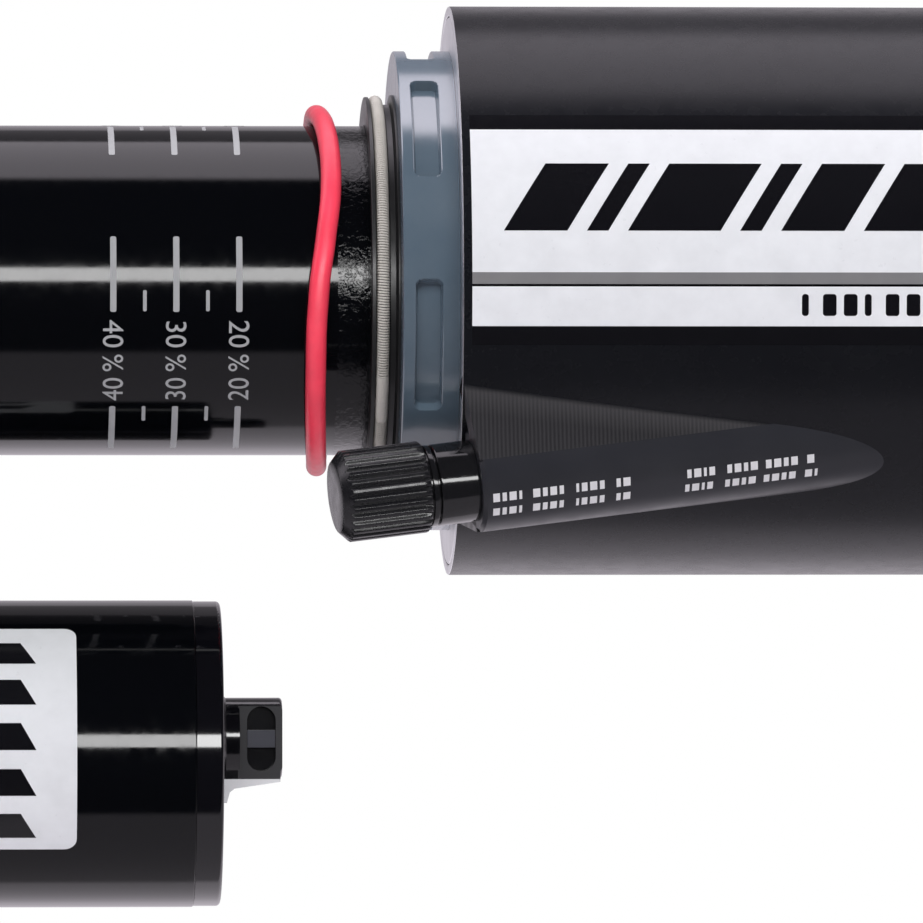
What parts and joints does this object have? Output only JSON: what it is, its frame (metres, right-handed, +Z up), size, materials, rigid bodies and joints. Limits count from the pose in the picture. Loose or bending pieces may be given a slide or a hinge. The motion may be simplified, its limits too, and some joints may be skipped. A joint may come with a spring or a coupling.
{
  "type": "bicycle rear air shock absorber",
  "caption": "Rear air shock for a bicycle with a side-by-side reservoir, red sag ring, castellated collar, capped air valve and an eyelet at each end.",
  "frame": {"origin": "centre of the head eyelet's bore", "axes": "+X along the shock from the head eyelet to the shaft eyelet, +Y along the eyelet bores, +Z up with the reservoir below"},
  "size_m": [0.254, 0.0629, 0.1053],
  "materials": {
    "cast_black": "black anodised, satin",
    "gloss_black": "black hard coat, glossy",
    "can_black": "black anodised, fine satin",
    "collar_grey": "blue-grey anodised, fine turned",
    "inner_aluminium": "turned, bare",
    "hard_shaft": "hard chromed, polished",
    "spring_steel": "coiled wire",
    "steel": "ground",
    "brass": "turned",
    "black_rubber": "nitrile, satin",
    "red_rubber": "moulded, satin",
    "ptfe": "filled bearing polymer",
    "cap_plastic": "moulded, fine flutes",
    "decal_white": "printed film",
    "red_anodised": "red anodised",
    "blue_anodised": "blue anodised"
  },
  "bodies": {
    "damper_side": {"head_casting": "cast_black", "head_eyelet_bushing": "ptfe", "damper_tube": "gloss_black", "air_piston": "inner_aluminium", "air_piston_seal": "black_rubber", "piston_glide_rings": "ptfe", "shaft_bushing": "ptfe", "shaft_seal": "black_rubber", "reservoir_tube": "gloss_black", "reservoir_head_oring": "black_rubber", "reservoir_end_cap": "cast_black", "reservoir_end_oring": "black_rubber", "charge_plug": "steel", "compression_valve": "inner_aluminium", "compression_shims": "steel", "compression_valve_bolt": "steel", "adjuster_stem": "cast_black", "bleed_screw": "steel", "reservoir_decal": "decal_white"},
    "air_can": {"air_sleeve": "can_black", "inner_can": "inner_aluminium", "can_collar": "collar_grey", "wiper_seal": "black_rubber", "garter_spring": "spring_steel", "collar_glide_bush": "ptfe", "collar_air_seal": "black_rubber", "sleeve_orings": "black_rubber", "volume_bands": "inner_aluminium", "valve_body": "gloss_black", "valve_core": "brass", "can_decal": "decal_white", "shaft_eyelet": "cast_black", "shaft_eyelet_bushing": "ptfe", "damper_shaft": "hard_shaft", "main_piston": "inner_aluminium", "main_piston_band": "ptfe", "compression_piston_shims": "steel", "rebound_shims": "steel", "piston_nut": "steel", "top_out_bumper": "black_rubber", "bottom_out_bumper": "black_rubber", "rebound_rod": "steel"},
    "sag_ring": {"sag_ring": "red_rubber"},
    "ifp": {"ifp_piston": "inner_aluminium", "ifp_oring": "black_rubber"},
    "climb_lever": {"climb_lever": "blue_anodised"},
    "lsc_dial": {"lsc_dial": "blue_anodised"},
    "hsc_screw": {"hsc_screw": "steel"},
    "valve_cap": {"valve_cap": "cap_plastic"},
    "valve_pin": {"valve_pin": "steel"},
    "rebound_dial": {"rebound_dial": "red_anodised"},
    "bottom_out_screw": {"bottom_out_screw": "steel"}
  },
  "joints": [
    {"name": "can_travel", "type": "slide", "parent": "damper_side", "child": "air_can", "axis": [-1, 0, 0], "range_m": [0, 0.065], "stiffness_N_per_m": 20000, "springref_m": -0.005},
    {"name": "sag_ring_slide", "type": "slide", "parent": "damper_side", "child": "sag_ring", "axis": [-1, 0, 0], "range_m": [0, 0.0626]},
    {"name": "ifp_slide", "type": "slide", "parent": "damper_side", "child": "ifp", "axis": [1, 0, 0], "range_m": [0, 0.0139]},
    {"name": "climb_lever_turn", "type": "hinge", "parent": "damper_side", "child": "climb_lever", "pos_m": [0.0146, 0, -0.0485], "axis": [-1, 0, 0], "range_deg": [0, 80]},
    {"name": "lsc_dial_turn", "type": "hinge", "parent": "damper_side", "child": "lsc_dial", "pos_m": [0.0093, 0, -0.0485], "axis": [-1, 0, 0], "range_deg": [0, 324]},
    {"name": "hsc_screw_turn", "type": "hinge", "parent": "damper_side", "child": "hsc_screw", "pos_m": [0.01, 0, -0.0485], "axis": [-1, 0, 0], "range_deg": [0, 330]},
    {"name": "valve_cap_lift", "type": "slide", "parent": "air_can", "child": "valve_cap", "axis": [-0.9799, -0.1592, -0.12], "range_m": [0, 0.012]},
    {"name": "valve_pin_press", "type": "slide", "parent": "air_can", "child": "valve_pin", "axis": [0.9799, 0.1592, 0.12], "range_m": [0, 0.0015], "stiffness_N_per_m": 800, "springref_m": -0.001},
    {"name": "rebound_dial_turn", "type": "hinge", "parent": "air_can", "child": "rebound_dial", "pos_m": [0.2176, 0, -0.0114], "axis": [0, 0, -1], "range_deg": [0, 324]},
    {"name": "bottom_out_turn", "type": "hinge", "parent": "air_can", "child": "bottom_out_screw", "pos_m": [0.2176, 0, 0.0107], "axis": [0, 0, 1], "range_deg": [0, 270]}
  ],
  "couplings": [
    {"joint": "sag_ring_slide", "follows": "can_travel", "ratio": 0.962},
    {"joint": "ifp_slide", "follows": "can_travel", "ratio": 0.2133}
  ]
}
